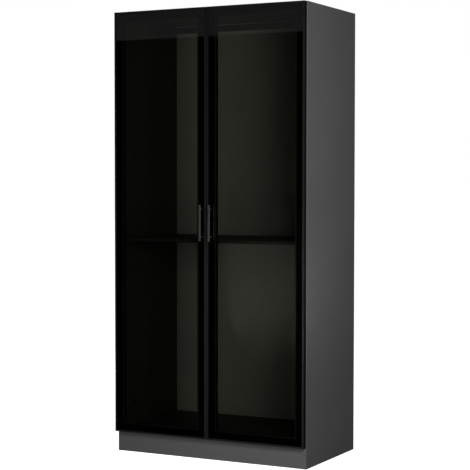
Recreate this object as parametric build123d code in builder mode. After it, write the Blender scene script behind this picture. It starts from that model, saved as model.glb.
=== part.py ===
from build123d import *
import os

# Two-door wardrobe with smoked glass doors in slim metal frames, in millimetres.
# Z is up, the doors face -Y, and the origin is the middle of the footprint on the floor.

# Driving dimensions
WIDTH = 1000
HEIGHT = 2110
CARCASS_DEPTH = 552
BOARD = 18
BACK_BOARD = 4
PLINTH_HEIGHT = 102
SHELF_TOP = 1032
DOOR_THICKNESS = 24
DOOR_STANDOFF = 6
DOOR_SPLIT = 4
DOOR_BOTTOM = 98
DOOR_TOP_MARGIN = 2
FRAME_WIDTH = 48
HANDLE_PROJECTION = 22
HINGE_HEIGHTS = (220, 790, 1420, 1990)
EDGE_RADIUS = 0.8

# Planes along the depth
DEPTH = CARCASS_DEPTH + DOOR_STANDOFF + DOOR_THICKNESS + HANDLE_PROJECTION
DOOR_FRONT = -DEPTH / 2 + HANDLE_PROJECTION
DOOR_REAR = DOOR_FRONT + DOOR_THICKNESS
CARCASS_FRONT = DOOR_REAR + DOOR_STANDOFF
CARCASS_REAR = DEPTH / 2
INNER = WIDTH / 2 - BOARD

# Back boards in their grooves, one above the other, with a joint strip behind the shelf
GROOVE_INSET = 12
GROOVE_DEPTH = 8
GROOVE_CLEARANCE = 0.2
GROOVE_END_GAP = 1
BACK_FRONT = CARCASS_REAR - GROOVE_INSET - BACK_BOARD
BACK_JOINT_WEB = 2
BACK_JOINT_WIDTH = 16
BACK_JOINT_FLANGE = 1

# Plinth and shelf
PLINTH_RECESS = 2
REAR_PLINTH_INSET = 40
SHELF_FRONT_INSET = 25
SHELF_SIDE_CLEARANCE = 0.5
SHELF_PIN_R = 2.5
SHELF_PIN_DEPTH = 9
SHELF_PIN_REACH = 9
SHELF_PIN_INSET = 60

# Cam fittings and dowels that join the top and the bottom to the sides
CAM_R = 7.5
CAM_HEIGHT = 12.5
CAM_FROM_END = 24
CAM_BOLT_R = 3
CAM_BOLT_IN_SIDE = 11
DOWEL_R = 4
DOWEL_IN_SIDE = 12
DOWEL_IN_BOARD = 22
CAM_INSET = 70
DOWEL_INSET = 110

# Clothes rail
RAIL_HEIGHT = 30
RAIL_THICKNESS = 15
RAIL_WALL = 1.2
RAIL_DROP = 53
SOCKET_PLATE = 3
SOCKET_WALL = 2
SOCKET_DEPTH = 12
SOCKET_CLEARANCE = 0.3
SOCKET_MARGIN = 8

# Door frame profile, measured inwards from the door's edge and back from its front face
LIP_WIDTH = 9
LIP_THICKNESS = 1.5
OUTER_WALL = 2
BOX_FRONT = 6.5
BOX_WALL = 1.8
GLASS_THICKNESS = 4
GLASS_EDGE = 0.5
GASKET_WIDTH = 8
KEY_LEG = 60
KEY_CLEARANCE = 0.3

# Handles
HANDLE_LENGTH = 168
HANDLE_WIDTH = 9
HANDLE_DEPTH = 7
HANDLE_CENTRE = 1110
HANDLE_FROM_EDGE = 22
POST_SPACING = 128
POST_R = 3.5
STUD_R = 2
STUD_CLEARANCE = 0.2
STUD_END = 12

# Hinges: the pin stands inside the door's thickness, so the door turns clear of the carcass
PIN_FROM_EDGE = 11
PIN_FROM_FRONT = 13.5
PIN_R = 1.5
PIN_CLEARANCE = 0.08
PIN_LENGTH = 30
CUP_HEIGHT = 40
CUP_INNER_EDGE = 41
CUP_GAP = 0.3
CAVITY_EDGE = 3.8
CAVITY_INNER_EDGE = 38
CAVITY_FRONT = 9.8
CAVITY_HEIGHT = 20
FLANGE_THICKNESS = 1.2
FLANGE_HEIGHT = 56
FLANGE_EDGE = 1
FLANGE_INNER_EDGE = 46
FLANGE_SCREW_R = 3
FLANGE_SCREW_OFFSET = 24
ARM_HEIGHT = 14
ARM_THICKNESS = 4
ARM_REACH = 20
ARM_EYE_R = 3.5
ARM_REAR = 75
PLATE_FRONT = 18
PLATE_WIDTH = 20
PLATE_WING_HEIGHT = 52
PLATE_WING_LENGTH = 22
PLATE_WING_THICKNESS = 2.5
PLATE_SCREW_OFFSET = 19
PLATE_SCREW_R = 3.5
PLATE_SCREW_HEAD = 1.5
BUFFER_R = 5
BUFFER_HEIGHT = 5.7

os.makedirs("parts", exist_ok=True)


def save(piece, name):
    """Label a finished piece and write it."""
    piece.label = name
    export_step(piece, f"parts/{name}.step")


def span(a, b):
    """Middle and length of the stretch between two coordinates."""
    return (a + b) / 2, abs(b - a)


def block(x, y, z, mode=Mode.ADD):
    """A box given by its low and high coordinate along each axis."""
    (cx, dx), (cy, dy), (cz, dz) = span(*x), span(*y), span(*z)
    with Locations((cx, cy, cz)):
        Box(dx, dy, dz, mode=mode)


def board_end_holes(side, z, radius, depth, inset):
    """Holes bored into a side panel from its inner face, near the front and the rear."""
    for y in (CARCASS_FRONT + inset, CARCASS_REAR - inset):
        with Locations(Plane((side * (INNER + depth / 2), y, z), z_dir=(1, 0, 0))):
            Cylinder(radius, depth, mode=Mode.SUBTRACT)


def rods(z, radius, start, end, inset):
    """Round rods along X at both ends of a board, near its front and its rear."""
    middle, length = span(start, end)
    for side in (-1, 1):
        for y in (CARCASS_FRONT + inset, CARCASS_REAR - inset):
            with Locations(Plane((side * middle, y, z), z_dir=(1, 0, 0))):
                Cylinder(radius, length)


# ---- Carcass boards -------------------------------------------------------------------------
TOP_MIDDLE = HEIGHT - BOARD / 2
BOTTOM_MIDDLE = PLINTH_HEIGHT + BOARD / 2
FLOOR_TOP = PLINTH_HEIGHT + BOARD
TOP_UNDERSIDE = HEIGHT - BOARD
SHELF_UNDERSIDE = SHELF_TOP - BOARD
GROOVE = (BACK_FRONT - GROOVE_CLEARANCE, BACK_FRONT + BACK_BOARD + GROOVE_CLEARANCE)
RAIL_Z = TOP_UNDERSIDE - RAIL_DROP
RAIL_Y = (CARCASS_FRONT + BACK_FRONT) / 2

for side, word in ((-1, "left"), (1, "right")):
    with BuildPart() as side_panel:
        block((side * INNER, side * WIDTH / 2), (CARCASS_FRONT, CARCASS_REAR), (0, HEIGHT))
        fillet(side_panel.edges().filter_by(Axis.Z), EDGE_RADIUS)
        block((side * INNER, side * (INNER + GROOVE_DEPTH)), GROOVE,
              (FLOOR_TOP - GROOVE_DEPTH, HEIGHT - BOARD + GROOVE_DEPTH), mode=Mode.SUBTRACT)
        for z in (TOP_MIDDLE, BOTTOM_MIDDLE):
            board_end_holes(side, z, CAM_BOLT_R, CAM_BOLT_IN_SIDE, CAM_INSET)
            board_end_holes(side, z, DOWEL_R, DOWEL_IN_SIDE, DOWEL_INSET)
        board_end_holes(side, SHELF_UNDERSIDE - SHELF_PIN_R, SHELF_PIN_R, SHELF_PIN_DEPTH, SHELF_PIN_INSET)
    save(side_panel.part, f"{word}_side_panel")


def end_board(z0, groove_z, cam_z, middle):
    """The top or the bottom board, with its groove and its bored ends."""
    with BuildPart() as piece:
        block((-INNER, INNER), (CARCASS_FRONT, CARCASS_REAR), (z0, z0 + BOARD))
        block((-INNER, INNER), GROOVE, groove_z, mode=Mode.SUBTRACT)
        for side in (-1, 1):
            for y in (CARCASS_FRONT + CAM_INSET, CARCASS_REAR - CAM_INSET):
                with Locations((side * (INNER - CAM_FROM_END), y, cam_z)):
                    Cylinder(CAM_R, CAM_HEIGHT, mode=Mode.SUBTRACT)
                with Locations(Plane((side * (INNER - CAM_FROM_END / 2), y, middle), z_dir=(1, 0, 0))):
                    Cylinder(CAM_BOLT_R, CAM_FROM_END, mode=Mode.SUBTRACT)
            for y in (CARCASS_FRONT + DOWEL_INSET, CARCASS_REAR - DOWEL_INSET):
                with Locations(Plane((side * (INNER - DOWEL_IN_BOARD / 2), y, middle), z_dir=(1, 0, 0))):
                    Cylinder(DOWEL_R, DOWEL_IN_BOARD, mode=Mode.SUBTRACT)
    return piece.part


CAM_TOP_Z = HEIGHT - CAM_HEIGHT / 2
CAM_BOTTOM_Z = PLINTH_HEIGHT + CAM_HEIGHT / 2
save(end_board(TOP_UNDERSIDE, (TOP_UNDERSIDE, TOP_UNDERSIDE + GROOVE_DEPTH), CAM_TOP_Z, TOP_MIDDLE),
     "top_panel")
save(end_board(PLINTH_HEIGHT, (FLOOR_TOP - GROOVE_DEPTH, FLOOR_TOP), CAM_BOTTOM_Z, BOTTOM_MIDDLE),
     "bottom_panel")

with BuildPart() as front_plinth:
    block((-INNER, INNER), (CARCASS_FRONT + PLINTH_RECESS, CARCASS_FRONT + PLINTH_RECESS + BOARD),
          (0, PLINTH_HEIGHT))
save(front_plinth.part, "front_plinth")

with BuildPart() as rear_plinth:
    block((-INNER, INNER), (CARCASS_REAR - REAR_PLINTH_INSET - BOARD, CARCASS_REAR - REAR_PLINTH_INSET),
          (0, PLINTH_HEIGHT))
save(rear_plinth.part, "rear_plinth")

with BuildPart() as shelf:
    half_shelf = INNER - SHELF_SIDE_CLEARANCE
    block((-half_shelf, half_shelf), (CARCASS_FRONT + SHELF_FRONT_INSET, BACK_FRONT - BACK_JOINT_FLANGE),
          (SHELF_UNDERSIDE, SHELF_TOP))
    fillet(shelf.edges().filter_by(Axis.X), EDGE_RADIUS)
save(shelf.part, "middle_shelf")

# ---- Back boards and the strip that joins them ----------------------------------------------
BACK_HALF_WIDTH = INNER + GROOVE_DEPTH - GROOVE_END_GAP
BACK_JOINT_Z = SHELF_TOP - BOARD / 2
BACK_PANEL_HEIGHTS = (
    ("lower", FLOOR_TOP - GROOVE_DEPTH + GROOVE_END_GAP, BACK_JOINT_Z - BACK_JOINT_WEB / 2),
    ("upper", BACK_JOINT_Z + BACK_JOINT_WEB / 2, TOP_UNDERSIDE + GROOVE_DEPTH - GROOVE_END_GAP),
)
for word, low, high in BACK_PANEL_HEIGHTS:
    with BuildPart() as back_panel:
        block((-BACK_HALF_WIDTH, BACK_HALF_WIDTH), (BACK_FRONT, BACK_FRONT + BACK_BOARD), (low, high))
    save(back_panel.part, f"{word}_back_panel")

with BuildPart() as back_joint:
    half_web, half_joint = BACK_JOINT_WEB / 2, BACK_JOINT_WIDTH / 2
    block((-INNER, INNER), (BACK_FRONT, BACK_FRONT + BACK_BOARD),
          (BACK_JOINT_Z - half_web, BACK_JOINT_Z + half_web))
    for face in (BACK_FRONT - BACK_JOINT_FLANGE, BACK_FRONT + BACK_BOARD):
        block((-INNER, INNER), (face, face + BACK_JOINT_FLANGE),
              (BACK_JOINT_Z - half_joint, BACK_JOINT_Z + half_joint))
save(back_joint.part, "back_joint_strip")

# ---- Fittings in the carcass ----------------------------------------------------------------
with BuildPart() as cams:
    for z in (CAM_TOP_Z, CAM_BOTTOM_Z):
        for side in (-1, 1):
            for y in (CARCASS_FRONT + CAM_INSET, CARCASS_REAR - CAM_INSET):
                with Locations((side * (INNER - CAM_FROM_END), y, z)):
                    Cylinder(CAM_R, CAM_HEIGHT)
save(cams.part, "cam_discs")

with BuildPart() as cam_bolts:
    for z in (TOP_MIDDLE, BOTTOM_MIDDLE):
        rods(z, CAM_BOLT_R, INNER - CAM_FROM_END + CAM_R, INNER + CAM_BOLT_IN_SIDE, CAM_INSET)
save(cam_bolts.part, "cam_bolts")

with BuildPart() as dowels:
    for z in (TOP_MIDDLE, BOTTOM_MIDDLE):
        rods(z, DOWEL_R, INNER - DOWEL_IN_BOARD, INNER + DOWEL_IN_SIDE, DOWEL_INSET)
save(dowels.part, "wooden_dowels")

with BuildPart() as shelf_pins:
    rods(SHELF_UNDERSIDE - SHELF_PIN_R, SHELF_PIN_R, INNER - SHELF_PIN_REACH, INNER + SHELF_PIN_DEPTH,
         SHELF_PIN_INSET)
save(shelf_pins.part, "shelf_pins")

# ---- Clothes rail and its end sockets -------------------------------------------------------
rail_end = INNER - SOCKET_PLATE
with BuildPart() as rail:
    with BuildSketch(Plane.YZ.offset(-rail_end)):
        with Locations((RAIL_Y, RAIL_Z)):
            SlotOverall(RAIL_HEIGHT, RAIL_THICKNESS, rotation=90)
            SlotOverall(RAIL_HEIGHT - 2 * RAIL_WALL, RAIL_THICKNESS - 2 * RAIL_WALL, rotation=90,
                        mode=Mode.SUBTRACT)
    extrude(amount=2 * rail_end)
save(rail.part, "clothes_rail")

for side, word in ((-1, "left"), (1, "right")):
    inner_gap = 2 * SOCKET_CLEARANCE
    outer_wall = inner_gap + 2 * SOCKET_WALL
    with BuildPart() as socket:
        with BuildSketch(Plane.YZ.offset(side * INNER)):
            with Locations((RAIL_Y, RAIL_Z)):
                SlotOverall(RAIL_HEIGHT + 2 * SOCKET_MARGIN, RAIL_THICKNESS + 2 * SOCKET_MARGIN, rotation=90)
        extrude(amount=-side * SOCKET_PLATE)
        with BuildSketch(Plane.YZ.offset(side * rail_end)):
            with Locations((RAIL_Y, RAIL_Z)):
                SlotOverall(RAIL_HEIGHT + outer_wall, RAIL_THICKNESS + outer_wall, rotation=90)
                SlotOverall(RAIL_HEIGHT + inner_gap, RAIL_THICKNESS + inner_gap, rotation=90,
                            mode=Mode.SUBTRACT)
        extrude(amount=-side * SOCKET_DEPTH)
    save(socket.part, f"{word}_rail_socket")


# ---- Doors ----------------------------------------------------------------------------------
BOX_REAR = DOOR_THICKNESS
DOOR_Z = (DOOR_BOTTOM, HEIGHT - DOOR_TOP_MARGIN)
HINGE_OPENING = (CUP_INNER_EDGE + CUP_GAP, CUP_HEIGHT + 2 * CUP_GAP)
POST_HEIGHTS = (HANDLE_CENTRE - POST_SPACING / 2, HANDLE_CENTRE + POST_SPACING / 2)


def frame_profile(edge, inward):
    """Points of the frame's outline and of its hollow, as (across, depth) pairs."""
    outline = [(0, 0), (LIP_WIDTH, 0), (LIP_WIDTH, LIP_THICKNESS), (OUTER_WALL, LIP_THICKNESS),
               (OUTER_WALL, BOX_FRONT), (FRAME_WIDTH, BOX_FRONT), (FRAME_WIDTH, BOX_REAR), (0, BOX_REAR)]
    hollow = [(OUTER_WALL, BOX_FRONT + BOX_WALL), (FRAME_WIDTH - BOX_WALL, BOX_FRONT + BOX_WALL),
              (FRAME_WIDTH - BOX_WALL, BOX_REAR - BOX_WALL), (OUTER_WALL, BOX_REAR - BOX_WALL)]
    return [[(edge + inward * across, DOOR_FRONT + depth) for across, depth in loop]
            for loop in (outline, hollow)]


def mitre(points):
    """Keep what lies inside a four-sided outline in the door's plane."""
    with BuildSketch(Plane.XZ.offset(-DOOR_FRONT)) as outline:
        with BuildLine():
            Polyline(*points, close=True)
        make_face()
    extrude(outline.sketch, amount=-DOOR_THICKNESS, mode=Mode.INTERSECT)


def handle_holes(edge, inward):
    """The two holes that the handle's studs pass through, near a door's meeting edge."""
    for z in POST_HEIGHTS:
        with Locations(Plane((edge + inward * HANDLE_FROM_EDGE, DOOR_FRONT, z), z_dir=(0, 1, 0))):
            Cylinder(STUD_R + STUD_CLEARANCE, BOX_FRONT + BOX_WALL, mode=Mode.SUBTRACT,
                     align=(Align.CENTER, Align.CENTER, Align.MIN))


def door_stile(edge, inward, hinge_heights):
    """An upright of the door frame, mitred, with openings for hinge cups or holes for the handle."""
    outline, hollow = frame_profile(edge, inward)
    low, high = DOOR_Z
    inner = edge + inward * FRAME_WIDTH
    with BuildPart() as stile:
        with BuildSketch(Plane.XY.offset(low)):
            with BuildLine():
                Polyline(*outline, close=True)
            make_face()
            with BuildLine():
                Polyline(*hollow, close=True)
            make_face(mode=Mode.SUBTRACT)
        extrude(amount=high - low)
        mitre([(edge, low), (edge, high), (inner, high - FRAME_WIDTH), (inner, low + FRAME_WIDTH)])
        for z in hinge_heights:
            half = HINGE_OPENING[1] / 2
            block((edge + inward * OUTER_WALL, edge + inward * HINGE_OPENING[0]),
                  (DOOR_REAR - BOX_WALL, DOOR_REAR), (z - half, z + half), mode=Mode.SUBTRACT)
        if not hinge_heights:
            handle_holes(edge, inward)
    return stile.part


def door_rail(x, edge, inward):
    """A crosspiece of the door frame, with mitred ends."""
    outline, hollow = frame_profile(edge, inward)
    low, high = min(x), max(x)
    inner = edge + inward * FRAME_WIDTH
    with BuildPart() as crosspiece:
        with BuildSketch(Plane.YZ.offset(low)):
            with BuildLine():
                Polyline(*[(depth, across) for across, depth in outline], close=True)
            make_face()
            with BuildLine():
                Polyline(*[(depth, across) for across, depth in hollow], close=True)
            make_face(mode=Mode.SUBTRACT)
        extrude(amount=high - low)
        mitre([(low, edge), (high, edge), (high - FRAME_WIDTH, inner), (low + FRAME_WIDTH, inner)])
    return crosspiece.part


def corner_keys(x):
    """L-shaped keys inside the hollow frame, one in each corner."""
    depth = (DOOR_FRONT + BOX_FRONT + BOX_WALL + KEY_CLEARANCE, DOOR_REAR - BOX_WALL - KEY_CLEARANCE)
    near, far = OUTER_WALL + KEY_CLEARANCE, FRAME_WIDTH - BOX_WALL - KEY_CLEARANCE
    with BuildPart() as keys:
        for edge_x, in_x in ((min(x), 1), (max(x), -1)):
            for edge_z, in_z in ((DOOR_Z[0], 1), (DOOR_Z[1], -1)):
                block((edge_x + in_x * near, edge_x + in_x * KEY_LEG), depth,
                      (edge_z + in_z * near, edge_z + in_z * far))
                block((edge_x + in_x * near, edge_x + in_x * far), depth,
                      (edge_z + in_z * near, edge_z + in_z * KEY_LEG))
    return keys.part


def loop_of_gasket(x):
    """The flat rubber loop between the glass and the frame, along the frame's inner edge."""
    outer = FRAME_WIDTH - GASKET_WIDTH
    depth = (DOOR_FRONT + LIP_THICKNESS + GLASS_THICKNESS, DOOR_FRONT + BOX_FRONT)
    with BuildPart() as gasket:
        for inset, mode in ((outer, Mode.ADD), (FRAME_WIDTH, Mode.SUBTRACT)):
            block((min(x) + inset, max(x) - inset), depth, (DOOR_Z[0] + inset, DOOR_Z[1] - inset), mode=mode)
    return gasket.part


def hinge_cup(edge, inward, z):
    """A cast cup in the outer stile, open to the rear, with its flange and the bore for the pin."""

    def across(distance):
        return edge + inward * distance

    half, half_flange, half_cavity = CUP_HEIGHT / 2, FLANGE_HEIGHT / 2, CAVITY_HEIGHT / 2
    with BuildPart() as cup:
        block((across(OUTER_WALL + CUP_GAP), across(CUP_INNER_EDGE)),
              (DOOR_FRONT + BOX_FRONT + BOX_WALL + CUP_GAP, DOOR_REAR), (z - half, z + half))
        block((across(FLANGE_EDGE), across(FLANGE_INNER_EDGE)), (DOOR_REAR, DOOR_REAR + FLANGE_THICKNESS),
              (z - half_flange, z + half_flange))
        block((across(CAVITY_EDGE), across(CAVITY_INNER_EDGE)),
              (DOOR_FRONT + CAVITY_FRONT, DOOR_REAR + FLANGE_THICKNESS), (z - half_cavity, z + half_cavity),
              mode=Mode.SUBTRACT)
        with Locations((across(PIN_FROM_EDGE), DOOR_FRONT + PIN_FROM_FRONT, z)):
            Cylinder(PIN_R, PIN_LENGTH, mode=Mode.SUBTRACT)
        middle = (CUP_INNER_EDGE + CAVITY_EDGE) / 2
        for offset in (-FLANGE_SCREW_OFFSET, FLANGE_SCREW_OFFSET):
            with Locations(Plane((across(middle), DOOR_REAR + FLANGE_THICKNESS, z + offset), z_dir=(0, 1, 0))):
                Cylinder(FLANGE_SCREW_R, FLANGE_THICKNESS, align=(Align.CENTER, Align.CENTER, Align.MIN))
    return cup.part


def hinge_arm(edge, inward, z):
    """The bent arm that reaches from the side panel round into the cup and turns on the pin."""
    pin_x, pin_y = edge + inward * PIN_FROM_EDGE, DOOR_FRONT + PIN_FROM_FRONT
    half_height, half_thickness = ARM_HEIGHT / 2, ARM_THICKNESS / 2
    far = pin_x + inward * ARM_REACH
    height = (z - half_height, z + half_height)
    with BuildPart() as arm:
        with Locations((pin_x, pin_y, z)):
            Cylinder(ARM_EYE_R, ARM_HEIGHT)
        block((pin_x, far), (pin_y - half_thickness, pin_y + half_thickness), height)
        block((far - inward * ARM_THICKNESS, far), (pin_y - half_thickness, CARCASS_FRONT + ARM_REAR), height)
        with Locations((pin_x, pin_y, z)):
            Cylinder(PIN_R + PIN_CLEARANCE, ARM_HEIGHT, mode=Mode.SUBTRACT)
    return arm.part


def hinge_plates(side):
    """Mounting plates on the inner face of a side panel, each with a wing and two screw heads."""
    arm_face = WIDTH / 2 - PIN_FROM_EDGE - ARM_REACH + ARM_THICKNESS
    plate_rear = CARCASS_FRONT + ARM_REAR
    wing_y = (CARCASS_FRONT + PLATE_FRONT + PLATE_WING_LENGTH / 2,
              CARCASS_FRONT + PLATE_FRONT + PLATE_WING_LENGTH * 3 / 2)
    wing_face = INNER - PLATE_WING_THICKNESS
    half_plate, half_wing = PLATE_WIDTH / 2, PLATE_WING_HEIGHT / 2
    with BuildPart() as plates:
        for z in HINGE_HEIGHTS:
            block((side * arm_face, side * INNER), (CARCASS_FRONT + PLATE_FRONT, plate_rear),
                  (z - half_plate, z + half_plate))
            block((side * wing_face, side * INNER), wing_y, (z - half_wing, z + half_wing))
            for offset in (-PLATE_SCREW_OFFSET, PLATE_SCREW_OFFSET):
                with Locations(Plane((side * wing_face, sum(wing_y) / 2, z + offset), z_dir=(-side, 0, 0))):
                    Cylinder(PLATE_SCREW_R, PLATE_SCREW_HEAD, align=(Align.CENTER, Align.CENTER, Align.MIN))
    return plates.part


for side, word in ((-1, "left"), (1, "right")):
    outer_edge, inner_edge = side * WIDTH / 2, side * DOOR_SPLIT / 2
    door_x = (outer_edge, inner_edge)

    save(door_stile(outer_edge, -side, HINGE_HEIGHTS), f"{word}_door_hinge_stile")
    save(door_stile(inner_edge, side, ()), f"{word}_door_meeting_stile")
    save(door_rail(door_x, DOOR_Z[1], -1), f"{word}_door_top_rail")
    save(door_rail(door_x, DOOR_Z[0], 1), f"{word}_door_bottom_rail")
    save(corner_keys(door_x), f"{word}_door_corner_keys")
    save(loop_of_gasket(door_x), f"{word}_door_gasket")

    inset = OUTER_WALL + GLASS_EDGE
    glass_y = (DOOR_FRONT + LIP_THICKNESS, DOOR_FRONT + LIP_THICKNESS + GLASS_THICKNESS)
    with BuildPart() as glass:
        block((min(door_x) + inset, max(door_x) - inset), glass_y, (DOOR_Z[0] + inset, DOOR_Z[1] - inset))
        handle_holes(inner_edge, side)
    save(glass.part, f"{word}_door_glass")

    handle_x = inner_edge + side * HANDLE_FROM_EDGE
    bar_front = DOOR_FRONT - HANDLE_PROJECTION
    with BuildPart() as handle_bar:
        with Locations((handle_x, bar_front + HANDLE_DEPTH / 2, HANDLE_CENTRE)):
            Box(HANDLE_WIDTH, HANDLE_DEPTH, HANDLE_LENGTH)
        fillet(handle_bar.edges(), EDGE_RADIUS)
    save(handle_bar.part, f"{word}_handle_bar")

    with BuildPart() as handle_posts:
        for z in POST_HEIGHTS:
            with Locations(Plane((handle_x, bar_front + HANDLE_DEPTH, z), z_dir=(0, 1, 0))):
                Cylinder(POST_R, HANDLE_PROJECTION - HANDLE_DEPTH + LIP_THICKNESS,
                         align=(Align.CENTER, Align.CENTER, Align.MIN))
                Cylinder(STUD_R, HANDLE_PROJECTION - HANDLE_DEPTH + STUD_END,
                         align=(Align.CENTER, Align.CENTER, Align.MIN))
    save(handle_posts.part, f"{word}_handle_posts")

    for number, z in enumerate(HINGE_HEIGHTS, start=1):
        save(hinge_cup(outer_edge, -side, z), f"{word}_hinge_cup_{number}")
        save(hinge_arm(outer_edge, -side, z), f"{word}_hinge_arm_{number}")
    save(hinge_plates(side), f"{word}_hinge_plates")

    with BuildPart() as hinge_pins:
        for z in HINGE_HEIGHTS:
            with Locations((outer_edge - side * PIN_FROM_EDGE, DOOR_FRONT + PIN_FROM_FRONT, z)):
                Cylinder(PIN_R, PIN_LENGTH)
    save(hinge_pins.part, f"{word}_hinge_pins")

    buffer_x = inner_edge + side * FRAME_WIDTH / 2
    with BuildPart() as buffers:
        for z in (BOTTOM_MIDDLE + BOARD / 4, TOP_MIDDLE - BOARD / 4):
            with Locations(Plane((buffer_x, DOOR_REAR, z), z_dir=(0, 1, 0))):
                Cylinder(BUFFER_R, BUFFER_HEIGHT, align=(Align.CENTER, Align.CENTER, Align.MIN))
    save(buffers.part, f"{word}_door_buffers")
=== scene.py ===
import math

import bmesh
import bpy
from mathutils import Matrix, Quaternion, Vector


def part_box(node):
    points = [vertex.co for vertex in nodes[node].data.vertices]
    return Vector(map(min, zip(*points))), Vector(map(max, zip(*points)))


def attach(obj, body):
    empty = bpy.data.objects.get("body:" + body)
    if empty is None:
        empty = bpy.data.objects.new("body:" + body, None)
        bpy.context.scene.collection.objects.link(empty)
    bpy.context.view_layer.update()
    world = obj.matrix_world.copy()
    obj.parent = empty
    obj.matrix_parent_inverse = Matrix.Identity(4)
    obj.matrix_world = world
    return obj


# Looks for the two-door wardrobe: materials, rounded edges, small fittings, studio and camera.
# Everything is in metres, in the CAD frame: Z up, doors facing -Y.

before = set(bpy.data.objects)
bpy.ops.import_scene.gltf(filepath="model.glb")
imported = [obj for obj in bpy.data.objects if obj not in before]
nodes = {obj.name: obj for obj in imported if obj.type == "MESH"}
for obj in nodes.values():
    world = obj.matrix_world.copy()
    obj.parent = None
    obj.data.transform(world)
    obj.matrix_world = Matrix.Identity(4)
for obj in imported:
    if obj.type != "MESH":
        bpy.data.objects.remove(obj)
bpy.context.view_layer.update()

MM = 0.001
SIDES = (("left", -1), ("right", 1))
HINGE_NUMBERS = (1, 2, 3, 4)

# Camera: where it stands, as seen from the point it looks at
CAMERA_AZIMUTH = 27.6
CAMERA_ELEVATION = 2.2
CAMERA_ROLL = 0.04
CAMERA_DISTANCE = 6.752
CAMERA_AIM = Vector((0.005, 0.0, 1.045))
CAMERA_LENS = 107.4
SENSOR_WIDTH = 36.0
CLIP_END = 200

# Sockets of the Mix node in its colour mode, whose names repeat
MIX_FACTOR, MIX_FIRST, MIX_SECOND, MIX_RESULT = 0, 6, 7, 2

WAVE_BANDS = 3.2  # about how many bands a Wave texture of scale 1 makes in one metre
PLATED_METALLIC = 0.7  # below a bare metal's 1, because there is little here for it to mirror


# ---- Materials ------------------------------------------------------------------------------
class Surface:
    """A material being made: its Principled shader and the pattern nodes that feed it."""

    def __init__(self, name, **inputs):
        self.material = bpy.data.materials.new(name)
        self.material.use_nodes = True
        self.tree = self.material.node_tree
        self.shader = self.tree.nodes["Principled BSDF"]
        for key, value in inputs.items():
            self.set(self.shader, key.replace("_", " "), value)

    def set(self, node, key, value):
        """Link a socket, or set a constant, on one of a node's inputs."""
        if isinstance(value, bpy.types.NodeSocket):
            self.tree.links.new(value, node.inputs[key])
        else:
            node.inputs[key].default_value = value

    def node(self, kind, inputs=None, **settings):
        made = self.tree.nodes.new("ShaderNode" + kind)
        for name, value in settings.items():
            setattr(made, name, value)
        for key, value in (inputs or {}).items():
            self.set(made, key, value)
        return made

    def coordinates(self, stretch=(1, 1, 1)):
        """Places in metres, scaled along each axis."""
        source = self.node("TexCoord").outputs["Object"]
        return self.node("Mapping", {"Vector": source, "Scale": stretch}).outputs["Vector"]

    def noise(self, scale, stretch=(1, 1, 1), detail=3.0, roughness=0.5):
        inputs = {"Vector": self.coordinates(stretch), "Scale": scale, "Detail": detail,
                  "Roughness": roughness}
        return self.node("TexNoise", inputs).outputs[0]

    def weave(self, pitch, direction):
        """Fine parallel threads, pitch metres apart."""
        inputs = {"Vector": self.coordinates(), "Scale": 1 / pitch / WAVE_BANDS, "Distortion": 0.6,
                  "Detail": 2.0, "Detail Scale": 1.5}
        return self.node("TexWave", inputs, bands_direction=direction).outputs["Fac"]

    def remap(self, value, low, high, start=0.3, end=0.7):
        """low where value is at start or less, high where it is at end or more."""
        inputs = {"Value": value, "From Min": start, "From Max": end, "To Min": low, "To Max": high}
        return self.node("MapRange", inputs).outputs["Result"]

    def math(self, operation, first, second):
        return self.node("Math", {0: first, 1: second}, operation=operation).outputs[0]

    def mix(self, factor, first, second):
        """A colour between two others."""
        inputs = {MIX_FACTOR: factor, MIX_FIRST: first, MIX_SECOND: second}
        return self.node("Mix", inputs, data_type="RGBA").outputs[MIX_RESULT]

    def edges(self, radius):
        """1 along sharp edges and 0 on flat faces: where a rounded normal turns away from the real one."""
        rounded = self.node("Bevel", {"Radius": radius}, samples=4).outputs["Normal"]
        flat = self.node("NewGeometry").outputs["Normal"]
        facing = self.node("VectorMath", {0: rounded, 1: flat}, operation="DOT_PRODUCT").outputs["Value"]
        return self.remap(facing, 1.0, 0.0, start=0.75, end=0.98)

    def bump(self, *layers):
        """Relief from (height, depth in metres) pairs, one on top of the other."""
        normal = None
        for height, depth in layers:
            inputs = {"Height": height, "Distance": depth, "Strength": 1.0}
            if normal is not None:
                inputs["Normal"] = normal
            normal = self.node("Bump", inputs).outputs["Normal"]
        self.set(self.shader, "Normal", normal)

    def paint(self, colour, roughness):
        self.set(self.shader, "Base Color", colour)
        self.set(self.shader, "Roughness", roughness)
        return self.material


def grey(level, warmth=0.0):
    """A neutral colour, a little warmer or cooler than grey."""
    return (level * (1 + warmth), level, level * (1 - warmth), 1.0)


def board(name, along, level):
    """Graphite melamine: short pores along the board, a fine pearl texture and edges worn pale."""
    surface = Surface(name, Specular_IOR_Level=0.35)
    stretch = tuple(0.05 if axis == along else 1.0 for axis in "XYZ")
    pores = surface.noise(420, stretch, detail=4)
    pearl = surface.noise(900, detail=2)
    mottle = surface.noise(2.5, detail=2)
    cloudy = surface.mix(surface.remap(mottle, 0, 1), grey(level * 0.94, -0.01), grey(level * 1.05, 0.01))
    grained = surface.mix(surface.remap(pores, 0, 0.55, 0.52, 0.75), cloudy, grey(level * 0.7))
    colour = surface.mix(surface.math("MULTIPLY", surface.edges(0.9 * MM), surface.remap(mottle, 0.1, 0.5)),
                         grained, grey(level * 2.2, 0.03))
    surface.bump((pearl, 0.05 * MM), (pores, 0.12 * MM))
    return surface.paint(colour, surface.remap(pores, 0.5, 0.68))


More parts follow.
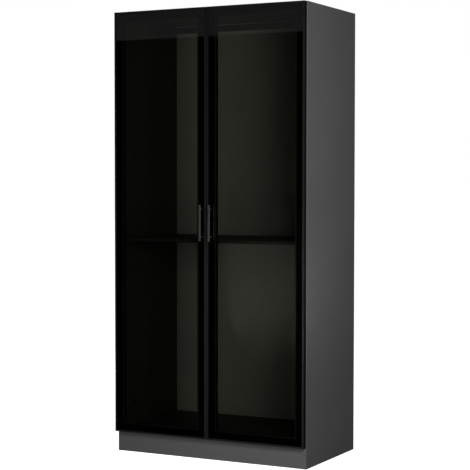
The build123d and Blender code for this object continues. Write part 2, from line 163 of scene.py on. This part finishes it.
def back_board():
    """Lacquered hardboard: a fine linen emboss over faint fibres."""
    surface = Surface("back_board", Specular_IOR_Level=0.4)
    fibres = surface.noise(160, (1, 1, 0.3), detail=6, roughness=0.65)
    cloud = surface.noise(1.8, detail=2)
    warp, weft = surface.weave(1.1 * MM, "X"), surface.weave(1.1 * MM, "Z")
    tone = surface.mix(surface.remap(cloud, 0, 1), grey(0.46, 0.02), grey(0.52, 0.04))
    colour = surface.mix(surface.remap(fibres, 0, 0.4, 0.45, 0.7), tone, grey(0.38, 0.02))
    surface.bump((fibres, 0.08 * MM), (surface.math("MULTIPLY", warp, weft), 0.06 * MM))
    return surface.paint(colour, surface.remap(fibres, 0.42, 0.6))


def dark_plastic():
    """Extruded and moulded plastic with a fine spark-eroded texture."""
    surface = Surface("dark_plastic", Specular_IOR_Level=0.4)
    grain = surface.noise(2600, detail=2)
    flow = surface.noise(35, (1, 1, 0.1), detail=2)
    colour = surface.mix(surface.remap(flow, 0, 1), grey(0.026), grey(0.036, 0.01))
    surface.bump((grain, 0.06 * MM))
    return surface.paint(colour, surface.remap(grain, 0.42, 0.62))


def beech():
    """Beech dowels: pale wood with short dark rays along X."""
    surface = Surface("beech", Specular_IOR_Level=0.3)
    rays = surface.noise(900, (0.08, 1, 1), detail=5)
    colour = surface.mix(surface.remap(rays, 0, 1), (0.62, 0.42, 0.24, 1), (0.45, 0.27, 0.13, 1))
    surface.bump((rays, 0.1 * MM))
    return surface.paint(colour, surface.remap(rays, 0.5, 0.7))


def plated_metal(name, level, roughness, spangle=300, relief=0.03, warmth=0.0):
    """Plated or cast metal with a fine grain, patches of duller finish and brighter worn edges."""
    surface = Surface(name, Metallic=PLATED_METALLIC)
    grain = surface.noise(spangle, detail=4)
    patches = surface.noise(60, detail=2)
    tone = surface.mix(surface.remap(patches, 0, 1), grey(level * 0.85, warmth), grey(level * 1.1, warmth))
    colour = surface.mix(surface.edges(0.4 * MM), tone, grey(min(level * 1.6, 0.9), warmth))
    surface.bump((grain, relief * MM))
    return surface.paint(colour, surface.remap(grain, roughness * 0.8, roughness * 1.25))


def coated_metal(name, level, roughness, worn, gloss=0.5):
    """Black anodised or powder-coated metal: an even fine speckle, worn a little along its edges."""
    surface = Surface(name, Specular_IOR_Level=gloss)
    grain = surface.noise(2200, detail=2)
    drift = surface.noise(14, detail=2)
    tone = surface.mix(surface.remap(drift, 0, 1), grey(level * 0.85), grey(level * 1.15))
    wear = surface.math("MULTIPLY", surface.edges(0.35 * MM), surface.remap(drift, 0.2, 1.0))
    surface.bump((grain, 0.025 * MM))
    colour = surface.mix(wear, tone, grey(worn))
    return surface.paint(colour, surface.remap(grain, roughness, roughness + 0.14))


def black_rubber():
    """Soft rubber with a dusty bloom."""
    surface = Surface("black_rubber", Specular_IOR_Level=0.3)
    bloom = surface.noise(180, detail=4)
    colour = surface.mix(surface.remap(bloom, 0, 1), grey(0.008), grey(0.02))
    surface.bump((surface.noise(1500, detail=2), 0.05 * MM))
    return surface.paint(colour, surface.remap(bloom, 0.7, 0.9))


def smoked_glass():
    """Dark toughened glass: each face dims what is behind it, and mirrors more at a slant."""
    tint = (0.215, 0.217, 0.195)
    surface = Surface("smoked_glass")
    smudges = surface.noise(7, (1, 1, 0.5), detail=5, roughness=0.6)
    roller = surface.noise(5, (1, 1, 0.35), detail=1)
    veil = surface.remap(smudges, 0.0, 1.0)
    face = [channel ** 0.5 for channel in tint]
    clear = surface.mix(veil, (*face, 1), (*(channel * 0.97 for channel in face), 1))
    bump_inputs = {"Height": roller, "Distance": 0.15 * MM, "Strength": 1.0}
    relief = surface.node("Bump", bump_inputs).outputs["Normal"]
    slant = surface.node("LayerWeight", {"Blend": 0.5, "Normal": relief}).outputs["Facing"]
    mirrored = surface.remap(surface.math("POWER", slant, 5.0), 0.04, 1.0, start=0.0, end=1.0)
    behind = surface.node("BsdfTransparent", {"Color": clear}).outputs["BSDF"]
    gloss_inputs = {"Roughness": surface.remap(smudges, 0.01, 0.08, 0.45, 0.8), "Normal": relief}
    gloss = surface.node("BsdfGlossy", gloss_inputs).outputs["BSDF"]
    both = surface.node("MixShader", {0: mirrored, 1: behind, 2: gloss}).outputs["Shader"]
    surface.tree.links.new(both, surface.tree.nodes["Material Output"].inputs["Surface"])
    surface.tree.nodes.remove(surface.shader)
    return surface.material


BOARD_LEVEL = 0.045
materials = {
    "graphite_board": board("graphite_board", "Z", BOARD_LEVEL),
    "graphite_board_level": board("graphite_board_level", "X", BOARD_LEVEL),
    "back_board": back_board(),
    "dark_plastic": dark_plastic(),
    "beech": beech(),
    "zinc": plated_metal("zinc", 0.3, 0.42),
    "rail_metal": coated_metal("rail_metal", 0.03, 0.3, worn=0.08),
    "cast_key": plated_metal("cast_key", 0.5, 0.55, spangle=500, relief=0.08),
    "hinge_steel": plated_metal("hinge_steel", 0.09, 0.4, spangle=600, warmth=0.02),
    "black_rubber": black_rubber(),
    "black_handle": coated_metal("black_handle", 0.009, 0.36, worn=0.03),
    "black_frame": coated_metal("black_frame", 0.0016, 0.5, worn=0.006, gloss=0.16),
    "smoked_glass": smoked_glass(),
}

# ---- CAD nodes: rounded edges and materials -------------------------------------------------
LEVEL_BOARDS = ("top_panel", "bottom_panel", "middle_shelf", "front_plinth", "rear_plinth")
UPRIGHT_BOARDS = ("left_side_panel", "right_side_panel")
FRAME_BARS = tuple(f"{word}_door_{bar}" for word, _ in SIDES
                   for bar in ("hinge_stile", "meeting_stile", "top_rail", "bottom_rail"))
BOARD_ROUNDING = 0.6 * MM
BAR_ROUNDING = 0.25 * MM
WELD_DISTANCE = 0.01 * MM
ROUNDED_ANGLE = math.radians(40)  # edges turning more than this are rounded


def round_edges(piece, width):
    """Weld the imported mesh, round its sharp edges and keep its flat faces flat."""
    piece.modifiers.new("weld", "WELD").merge_threshold = WELD_DISTANCE
    bevel = piece.modifiers.new("round", "BEVEL")
    bevel.width = width
    bevel.segments = 2
    bevel.limit_method = "ANGLE"
    bevel.angle_limit = ROUNDED_ANGLE
    piece.modifiers.new("shade", "WEIGHTED_NORMAL")


for node in nodes.values():
    for slot in node.material_slots:
        slot.material = materials[slot.material.name]
for name in LEVEL_BOARDS:
    nodes[name].material_slots[0].material = materials["graphite_board_level"]
for name in LEVEL_BOARDS + UPRIGHT_BOARDS:
    round_edges(nodes[name], BOARD_ROUNDING)
for name in FRAME_BARS:
    round_edges(nodes[name], BAR_ROUNDING)


# ---- Small fittings -------------------------------------------------------------------------
SHARP_ANGLE = math.radians(35)  # edges turning more than this stay crisp
SPIN_STEP = 2.4  # radians from one copy of a fitting to the next


def new_piece(name, shape, body, material):
    """A smooth-shaded mesh piece from a bmesh, riding on a body and finished in a record slot."""
    bmesh.ops.recalc_face_normals(shape, faces=shape.faces)
    mesh = bpy.data.meshes.new(name)
    shape.to_mesh(mesh)
    shape.free()
    piece = bpy.data.objects.new(name, mesh)
    bpy.context.scene.collection.objects.link(piece)
    mesh.materials.append(materials[material])
    mesh.shade_smooth()
    mesh.set_sharp_from_angle(angle=SHARP_ANGLE)
    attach(piece, body)
    return piece


def ring(shape, radius, height, corners=20):
    """A closed loop of vertices, level and round."""
    turn = math.tau / corners
    return [shape.verts.new((radius * math.cos(i * turn), radius * math.sin(i * turn), height))
            for i in range(corners)]


def skirt(shape, lower, upper):
    """The band of faces between two loops of the same length."""
    for i, corner in enumerate(lower):
        after = (i + 1) % len(lower)
        shape.faces.new((corner, lower[after], upper[after], upper[i]))


def loop_edges(shape, loop):
    return [shape.edges.get((a, b)) or shape.edges.new((a, b)) for a, b in zip(loop, loop[1:] + loop[:1])]


def cross_outline(shape, half_width, half_length, height):
    """The twelve corners of a plus sign, in order."""
    w, l = half_width, half_length
    quarter = [(w, l), (w, w), (l, w)]
    corners = []
    for turn in range(4):
        spin = Matrix.Rotation(-turn * math.pi / 2, 2)
        corners += [spin @ Vector(point) for point in quarter]
    return [shape.verts.new((x, y, height)) for x, y in corners]


def screw_head(radius, height):
    """A pan head with a cross recess, its base on the XY plane."""
    shape = bmesh.new()
    base, brow, crown = (ring(shape, radius * r, height * z) for r, z in ((1, 0), (0.94, 0.55), (0.72, 1)))
    skirt(shape, base, brow)
    skirt(shape, brow, crown)
    mouth = cross_outline(shape, 0.12 * radius, 0.5 * radius, height)
    floor = cross_outline(shape, 0.09 * radius, 0.38 * radius, 0.45 * height)
    skirt(shape, mouth, floor)
    shape.faces.new(floor)
    bmesh.ops.triangle_fill(shape, use_beauty=True, use_dissolve=False,
                            edges=loop_edges(shape, crown) + loop_edges(shape, mouth))
    return shape


def dome(radius, height):
    """A low rounded button, its base on the XY plane."""
    shape = bmesh.new()
    profile = ((1.0, 0.0), (0.97, 0.45), (0.82, 0.8), (0.5, 0.96))
    loops = [ring(shape, radius * r, height * z) for r, z in profile]
    for lower, upper in zip(loops, loops[1:]):
        skirt(shape, lower, upper)
    shape.faces.new(loops[-1])
    return shape


def repeat(pattern, places, direction):
    """Copies of a pattern at several places, its Z axis turned to a direction. Each is spun differently."""
    mesh = bpy.data.meshes.new("pattern")
    pattern.to_mesh(mesh)
    pattern.free()
    facing = Vector(direction).to_track_quat("Z", "Y").to_matrix().to_4x4()
    joined = bmesh.new()
    for number, place in enumerate(places):
        first = len(joined.verts)
        joined.from_mesh(mesh)
        joined.verts.ensure_lookup_table()
        spin = Matrix.Rotation(number * SPIN_STEP, 4, "Z")
        bmesh.ops.transform(joined, matrix=Matrix.Translation(place) @ facing @ spin,
                            verts=joined.verts[first:])
    bpy.data.meshes.remove(mesh)
    return joined


FLANGE_SCREW = (3.7 * MM, 1.9 * MM)
FLANGE_HEAD = 1.2 * MM
FLANGE_SCREW_INSET = 21.4 * MM
FLANGE_SCREW_RISE = 24 * MM
PLATE_SCREW = (4.2 * MM, 2.2 * MM)
PLATE_SCREW_RISE = 19 * MM
PLATE_SCREW_BACK = 22 * MM
PLATE_WING = 2.5 * MM
ADJUSTER = (2.6 * MM, 0.9 * MM)
ADJUSTER_FROM_REAR = (12 * MM, 34 * MM)
PLUG = (4.2 * MM, 0.9 * MM)
PLUG_PITCH = 32 * MM
PLUG_ROWS = (-6, -5, -4, -3, -2, -1, 1, 2, 3, 4, 5, 6)
NAIL = (3.2 * MM, 0.8 * MM)
NAIL_SPACING = 0.15
STRIP_WIDTH = 5 * MM
STRIP_HEIGHT = 1.4 * MM
STRIP_MARGIN = 16 * MM
STRIP_SINK = 0.4 * MM

pins_low, pins_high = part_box("shelf_pins")
pin_radius = (pins_high.z - pins_low.z) / 2
pin_z = (pins_low.z + pins_high.z) / 2
strip_low, strip_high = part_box("back_joint_strip")
shelf_low, shelf_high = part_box("middle_shelf")
rail_low, rail_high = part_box("clothes_rail")

for word, side in SIDES:
    flange_places, plate_places, adjuster_places = [], [], []
    panel_low, panel_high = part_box(f"{word}_side_panel")
    inner_face = panel_high.x if side < 0 else panel_low.x
    plates_low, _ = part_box(f"{word}_hinge_plates")
    for number in HINGE_NUMBERS:
        cup_low, cup_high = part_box(f"{word}_hinge_cup_{number}")
        arm_low, arm_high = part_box(f"{word}_hinge_arm_{number}")
        z = (cup_low.z + cup_high.z) / 2
        flange_outer = cup_low.x if side < 0 else cup_high.x
        arm_face = arm_high.x if side < 0 else arm_low.x
        wing_face = inner_face - side * PLATE_WING
        for rise in (-1, 1):
            flange_places.append(Vector((flange_outer - side * FLANGE_SCREW_INSET, cup_high.y - FLANGE_HEAD,
                                         z + rise * FLANGE_SCREW_RISE)))
            plate_places.append(Vector((wing_face, plates_low.y + PLATE_SCREW_BACK,
                                        z + rise * PLATE_SCREW_RISE)))
        for back in ADJUSTER_FROM_REAR:
            adjuster_places.append(Vector((arm_face, arm_high.y - back, z)))
    new_piece(f"{word}_flange_screws", repeat(screw_head(*FLANGE_SCREW), flange_places, (0, 1, 0)),
              f"{word}_door", "zinc")
    new_piece(f"{word}_plate_screws", repeat(screw_head(*PLATE_SCREW), plate_places, (-side, 0, 0)),
              "carcass", "zinc")
    new_piece(f"{word}_adjusting_screws", repeat(screw_head(*ADJUSTER), adjuster_places, (-side, 0, 0)),
              "carcass", "zinc")

    plug_places = [Vector((inner_face, y, pin_z + row * PLUG_PITCH)) for row in PLUG_ROWS
                   for y in (pins_low.y + pin_radius, pins_high.y - pin_radius)]
    new_piece(f"{word}_hole_plugs", repeat(dome(*PLUG), plug_places, (-side, 0, 0)),
              "carcass", "dark_plastic")

nail_count = round((shelf_high.x - shelf_low.x) / NAIL_SPACING)
nail_z = (strip_low.z + strip_high.z) / 2
nail_places = [Vector(((i - (nail_count - 1) / 2) * NAIL_SPACING, strip_high.y, nail_z))
               for i in range(nail_count)]
new_piece("back_nails", repeat(dome(*NAIL), nail_places, (0, 1, 0)), "carcass", "zinc")


def damping_strip():
    """A soft half-round strip along the top of the clothes rail, where hangers slide."""
    shape = bmesh.new()
    middle_y = (rail_low.y + rail_high.y) / 2
    steps = 8
    ends = []
    for x in (rail_low.x + STRIP_MARGIN, rail_high.x - STRIP_MARGIN):
        arch = [(x, middle_y - STRIP_WIDTH / 2 * math.cos(math.pi * i / steps),
                 rail_high.z - STRIP_SINK + STRIP_HEIGHT * math.sin(math.pi * i / steps))
                for i in range(steps + 1)]
        ends.append([shape.verts.new(point) for point in arch])
    skirt(shape, ends[0], ends[1])
    for end in ends:
        shape.faces.new(end)
    return shape


new_piece("rail_damping_strip", damping_strip(), "carcass", "black_rubber")


# ---- Studio ---------------------------------------------------------------------------------
def soft_light(name, place, aim, size, power, spread=180):
    """A softbox of some width and height at a place, facing a point."""
    lamp = bpy.data.lights.new(name, "AREA")
    lamp.shape = "RECTANGLE"
    lamp.size, lamp.size_y = size
    lamp.energy = power
    lamp.spread = math.radians(spread)
    light = bpy.data.objects.new(name, lamp)
    light.location = place
    light.rotation_mode = "QUATERNION"
    light.rotation_quaternion = (Vector(place) - Vector(aim)).to_track_quat("Z", "Y")
    light.visible_camera = False
    bpy.context.scene.collection.objects.link(light)
    return light


def hide_from_glass(*lights):
    """Keep lights out of the door glass, which would mirror them as bright squares."""
    glass = bpy.data.collections.new("glass")
    for word, _ in SIDES:
        glass.objects.link(nodes[f"{word}_door_glass"])
    for member in glass.collection_objects:
        member.light_linking.link_state = "EXCLUDE"
    for light in lights:
        light.light_linking.receiver_collection = glass


key = soft_light("key", place=(1.86, -1.93, 1.37), aim=(0.2, -0.4, 2.0), size=(1.0, 1.0), power=123)
fill = soft_light("fill", place=(-0.25, -2.3, 0.24), aim=(-0.1, 0.28, 0.7), size=(0.6, 0.6), power=17)
low_beam = soft_light("low beam", place=(1.3, -2.6, 0.8), aim=(0.07, 0.286, 0.77), size=(0.4, 0.4),
                      power=1.0, spread=12)
soft_light("ceiling glow", place=(-1.1, -2.3, 2.91), aim=(-1.1, 0, 2.91), size=(1.4, 1.4), power=1.2)
rim = soft_light("rim", place=(-2.2, 2.6, 2.4), aim=(0, 0.3, 1.1), size=(1.6, 1.6), power=60)
hide_from_glass(key, fill, low_beam, rim)

AMBIENT = 0.33
FLOOR_RADIUS = 40
FLOOR_DROP = 0.2 * MM


def white_studio():
    """A plain white backdrop for the camera that lights the object only dimly and isn't mirrored in it."""
    world = bpy.data.worlds.new("studio")
    world.use_nodes = True
    tree = world.node_tree
    path = tree.nodes.new("ShaderNodeLightPath")
    strength = tree.nodes.new("ShaderNodeMapRange")
    strength.inputs["To Min"].default_value = AMBIENT
    tree.links.new(path.outputs["Is Camera Ray"], strength.inputs["Value"])
    background = tree.nodes["Background"]
    background.inputs["Color"].default_value = (1, 1, 1, 1)
    tree.links.new(strength.outputs["Result"], background.inputs["Strength"])
    world.cycles_visibility.glossy = False
    bpy.context.scene.world = world


def pale_floor():
    """A wide round floor, faintly clouded, bright enough to fade into the backdrop."""
    surface = Surface("floor", Specular_IOR_Level=0.0, Emission_Strength=0.82)
    cloud = surface.noise(0.8, detail=3)
    tone = surface.mix(surface.remap(cloud, 0, 1), grey(0.78), grey(0.8))
    surface.set(surface.shader, "Emission Color", grey(1.0))
    shape = bmesh.new()
    shape.faces.new(ring(shape, FLOOR_RADIUS, 0, corners=96))
    mesh = bpy.data.meshes.new("floor")
    shape.to_mesh(mesh)
    shape.free()
    mesh.materials.append(surface.paint(tone, surface.remap(cloud, 0.7, 0.8)))
    floor = bpy.data.objects.new("floor", mesh)
    floor.location.z = -FLOOR_DROP
    floor.visible_glossy = False
    floor.visible_diffuse = False
    bpy.context.scene.collection.objects.link(floor)
    return floor


white_studio()
pale_floor()
bpy.context.scene.view_settings.view_transform = "Standard"

# ---- Camera ---------------------------------------------------------------------------------
azimuth, elevation = math.radians(CAMERA_AZIMUTH), math.radians(CAMERA_ELEVATION)
backward = Vector((math.sin(azimuth) * math.cos(elevation), -math.cos(azimuth) * math.cos(elevation),
                   math.sin(elevation)))
lens = bpy.data.cameras.new("camera")
lens.sensor_width = SENSOR_WIDTH
lens.lens = CAMERA_LENS
lens.clip_end = CLIP_END
camera = bpy.data.objects.new("camera", lens)
camera.location = CAMERA_AIM + backward * CAMERA_DISTANCE
camera.rotation_mode = "QUATERNION"
roll = Quaternion((0, 0, 1), math.radians(CAMERA_ROLL))
camera.rotation_quaternion = backward.to_track_quat("Z", "Y") @ roll
bpy.context.scene.collection.objects.link(camera)
bpy.context.scene.camera = camera
